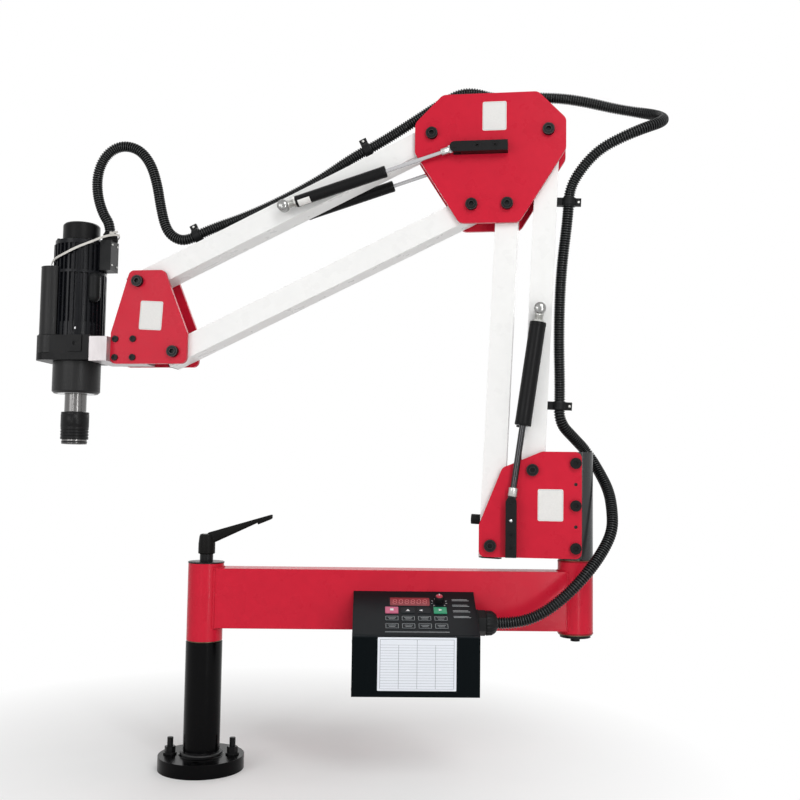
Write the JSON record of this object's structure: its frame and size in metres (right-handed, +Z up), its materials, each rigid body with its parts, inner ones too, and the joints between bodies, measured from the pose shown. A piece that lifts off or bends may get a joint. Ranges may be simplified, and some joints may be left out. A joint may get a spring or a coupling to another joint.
{
  "type": "arm tapping machine",
  "caption": "Bench arm tapping machine: a bolted column and swing beam carry two stacked parallelogram arms that keep a motor spindle upright, with gas springs and a control box.",
  "frame": {"origin": "the base column's axis at the underside of its flange, where it stands on the bench", "axes": "+Z up along the column, +X along the cross beam from the column to the swivel post, +Y away from the side with the control box"},
  "size_m": [1.1367, 0.3587, 1.2191],
  "materials": {
    "red_paint": "gloss",
    "white_paint": "semi-gloss",
    "black_paint": "semi-gloss",
    "black_steel": "black oxide",
    "bright_steel": "ground",
    "chrome": "polished",
    "black_alu": "black anodised, satin",
    "plain_alu": "milled",
    "bronze": "machined",
    "rubber": "matte",
    "black_plastic": "satin",
    "case_paint": "fine texture",
    "panel_film": "satin",
    "red_key": "satin",
    "green_key": "satin",
    "knob_plastic": "satin"
  },
  "bodies": {
    "base": {"base_column": "black_paint", "pivot_shaft": "bright_steel", "hold_down_bolts": "black_steel", "clamp_stud": "black_steel"},
    "lever": {"clamp_lever": "black_paint"},
    "beam": {"pivot_hub": "red_paint", "cross_beam": "red_paint", "swivel_hub": "red_paint", "hub_bushes": "bronze", "control_case": "case_paint", "control_panel": "panel_film", "cable_gland": "black_plastic", "conduit_beam": "black_plastic"},
    "knob": {"control_knob": "knob_plastic"},
    "stop": {"stop_key": "red_key"},
    "start": {"start_key": "green_key"},
    "bracket": {"swivel_post": "black_paint", "swivel_retainer": "black_steel", "bracket_plate_front": "red_paint", "bracket_plate_rear": "red_paint", "bracket_bolts": "black_steel", "post_spring_lugs": "black_steel"},
    "back_post": {"rear_post": "white_paint", "rear_post_bushes": "bronze", "post_ball_studs": "bright_steel", "post_clips": "black_plastic", "conduit_post": "black_plastic"},
    "fore_post": {"front_post": "white_paint", "front_post_bushes": "bronze", "fold_buffer": "rubber"},
    "elbow": {"elbow_plate_front": "red_paint", "elbow_plate_rear": "red_paint", "elbow_bolts": "black_steel", "arm_spring_lugs": "black_steel", "conduit_elbow": "black_plastic"},
    "top_arm": {"upper_arm": "white_paint", "upper_arm_bushes": "bronze", "arm_ball_studs": "bright_steel", "arm_clips": "black_plastic", "conduit_arm": "black_plastic"},
    "low_arm": {"lower_arm": "white_paint", "lower_arm_bushes": "bronze"},
    "head": {"head_plate_front": "red_paint", "head_plate_rear": "red_paint", "head_bolts": "black_steel", "head_block": "plain_alu", "spindle_clamp": "black_alu", "spindle_housing": "black_steel", "spindle_bearings": "bright_steel", "servo_motor": "black_alu", "motor_cap": "black_alu", "side_cover": "black_alu", "motor_connector": "black_plastic", "conduit_head": "black_plastic"},
    "spindle": {"spindle_shaft": "chrome"},
    "collar": {"chuck_collar": "black_steel"},
    "post_cylinders": {"post_spring_cylinders": "black_paint"},
    "post_rods": {"post_spring_rods": "chrome"},
    "arm_cylinders": {"arm_spring_cylinders": "black_paint"},
    "arm_rods": {"arm_spring_rods": "chrome"}
  },
  "joints": [
    {"name": "clamp_turn", "type": "hinge", "parent": "base", "child": "lever", "pos_m": [0, 0, 0.356], "axis": [0, 0, 1], "range_deg": [-45, 135]},
    {"name": "beam_swing", "type": "hinge", "parent": "base", "child": "beam", "pos_m": [0, 0, 0.2103], "axis": [0, 0, 1], "range_deg": [-180, 180]},
    {"name": "arm_swivel", "type": "hinge", "parent": "beam", "child": "bracket", "pos_m": [0.6315, 0, 0.352], "axis": [0, 0, 1], "range_deg": [-60, 150], "deforming": ["conduit_beam"]},
    {"name": "knob_turn", "type": "hinge", "parent": "beam", "child": "knob", "pos_m": [0.3935, -0.05446, 0.28414], "axis": [0, -0.4504, 0.8928], "range_deg": [-135, 135]},
    {"name": "stop_press", "type": "slide", "parent": "beam", "child": "stop", "axis": [0, 0.4504, -0.8928], "range_m": [0, 0.0008], "stiffness_N_per_m": 1500, "springref_m": -0.0004},
    {"name": "start_press", "type": "slide", "parent": "beam", "child": "start", "axis": [0, 0.4504, -0.8928], "range_m": [0, 0.0008], "stiffness_N_per_m": 1500, "springref_m": -0.0004},
    {"name": "post_lean", "type": "hinge", "parent": "bracket", "child": "back_post", "pos_m": [0.55973, 0.01278, 0.5058], "axis": [0.1754, 0.9845, 0], "range_deg": [-30, 8], "deforming": ["conduit_post"]},
    {"name": "front_post_link", "type": "hinge", "parent": "bracket", "child": "fore_post", "pos_m": [0.48944, 0.02531, 0.3758], "axis": [0.1754, 0.9845, 0], "range_deg": [-30.2, 8.2]},
    {"name": "elbow_level", "type": "hinge", "parent": "back_post", "child": "elbow", "pos_m": [0.58475, 0.00833, 1.09986], "axis": [0.1754, 0.9845, 0], "range_deg": [-8.2, 30.2], "deforming": ["conduit_elbow"]},
    {"name": "forearm_lift", "type": "hinge", "parent": "elbow", "child": "top_arm", "pos_m": [0.38273, 0.04431, 1.09986], "axis": [0.1754, 0.9845, 0], "range_deg": [-30, 30], "deforming": ["conduit_arm"]},
    {"name": "lower_arm_link", "type": "hinge", "parent": "elbow", "child": "low_arm", "pos_m": [0.45303, 0.03179, 0.96986], "axis": [0.1754, 0.9845, 0], "range_deg": [-30.2, 30.2]},
    {"name": "head_level", "type": "hinge", "parent": "top_arm", "child": "head", "pos_m": [-0.14865, 0.13897, 0.84218], "axis": [0.1754, 0.9845, 0], "range_deg": [-30.2, 30.2], "deforming": ["conduit_head"]},
    {"name": "spindle_spin", "type": "hinge", "parent": "head", "child": "spindle", "pos_m": [-0.27722, 0.16187, 0.54318], "axis": [0, 0, 1], "continuous": true},
    {"name": "collar_lift", "type": "slide", "parent": "spindle", "child": "collar", "axis": [0, 0, 1], "range_m": [0, 0.008], "stiffness_N_per_m": 400, "springref_m": -0.004},
    {"name": "post_cylinder_swing", "type": "hinge", "parent": "back_post", "child": "post_cylinders", "pos_m": [0.57139, 0.01071, 0.78255], "axis": [0.1754, 0.9845, 0], "range_deg": [-1.53, 5.18]},
    {"name": "post_rod_swing", "type": "hinge", "parent": "bracket", "child": "post_rods", "pos_m": [0.52468, 0.01903, 0.44975], "axis": [0.1754, 0.9845, 0], "range_deg": [-25.22, 6.87]},
    {"name": "arm_cylinder_swing", "type": "hinge", "parent": "top_arm", "child": "arm_cylinders", "pos_m": [0.12117, 0.0909, 0.97302], "axis": [0.1754, 0.9845, 0], "range_deg": [-3.04, 3.04]},
    {"name": "arm_rod_swing", "type": "hinge", "parent": "elbow", "child": "arm_rods", "pos_m": [0.4247, 0.03684, 1.0693], "axis": [0.1754, 0.9845, 0], "range_deg": [-27.36, 27.36]}
  ],
  "couplings": [
    {"joint": "front_post_link", "follows": "post_lean", "ratio": 1},
    {"joint": "elbow_level", "follows": "post_lean", "ratio": -1},
    {"joint": "lower_arm_link", "follows": "forearm_lift", "ratio": 1},
    {"joint": "head_level", "follows": "forearm_lift", "ratio": -1},
    {"joint": "post_cylinder_swing", "follows": "post_lean", "ratio": -0.166},
    {"joint": "post_rod_swing", "follows": "post_lean", "ratio": 0.834},
    {"joint": "arm_cylinder_swing", "follows": "forearm_lift", "ratio": -0.0945},
    {"joint": "arm_rod_swing", "follows": "forearm_lift", "ratio": 0.9055}
  ]
}
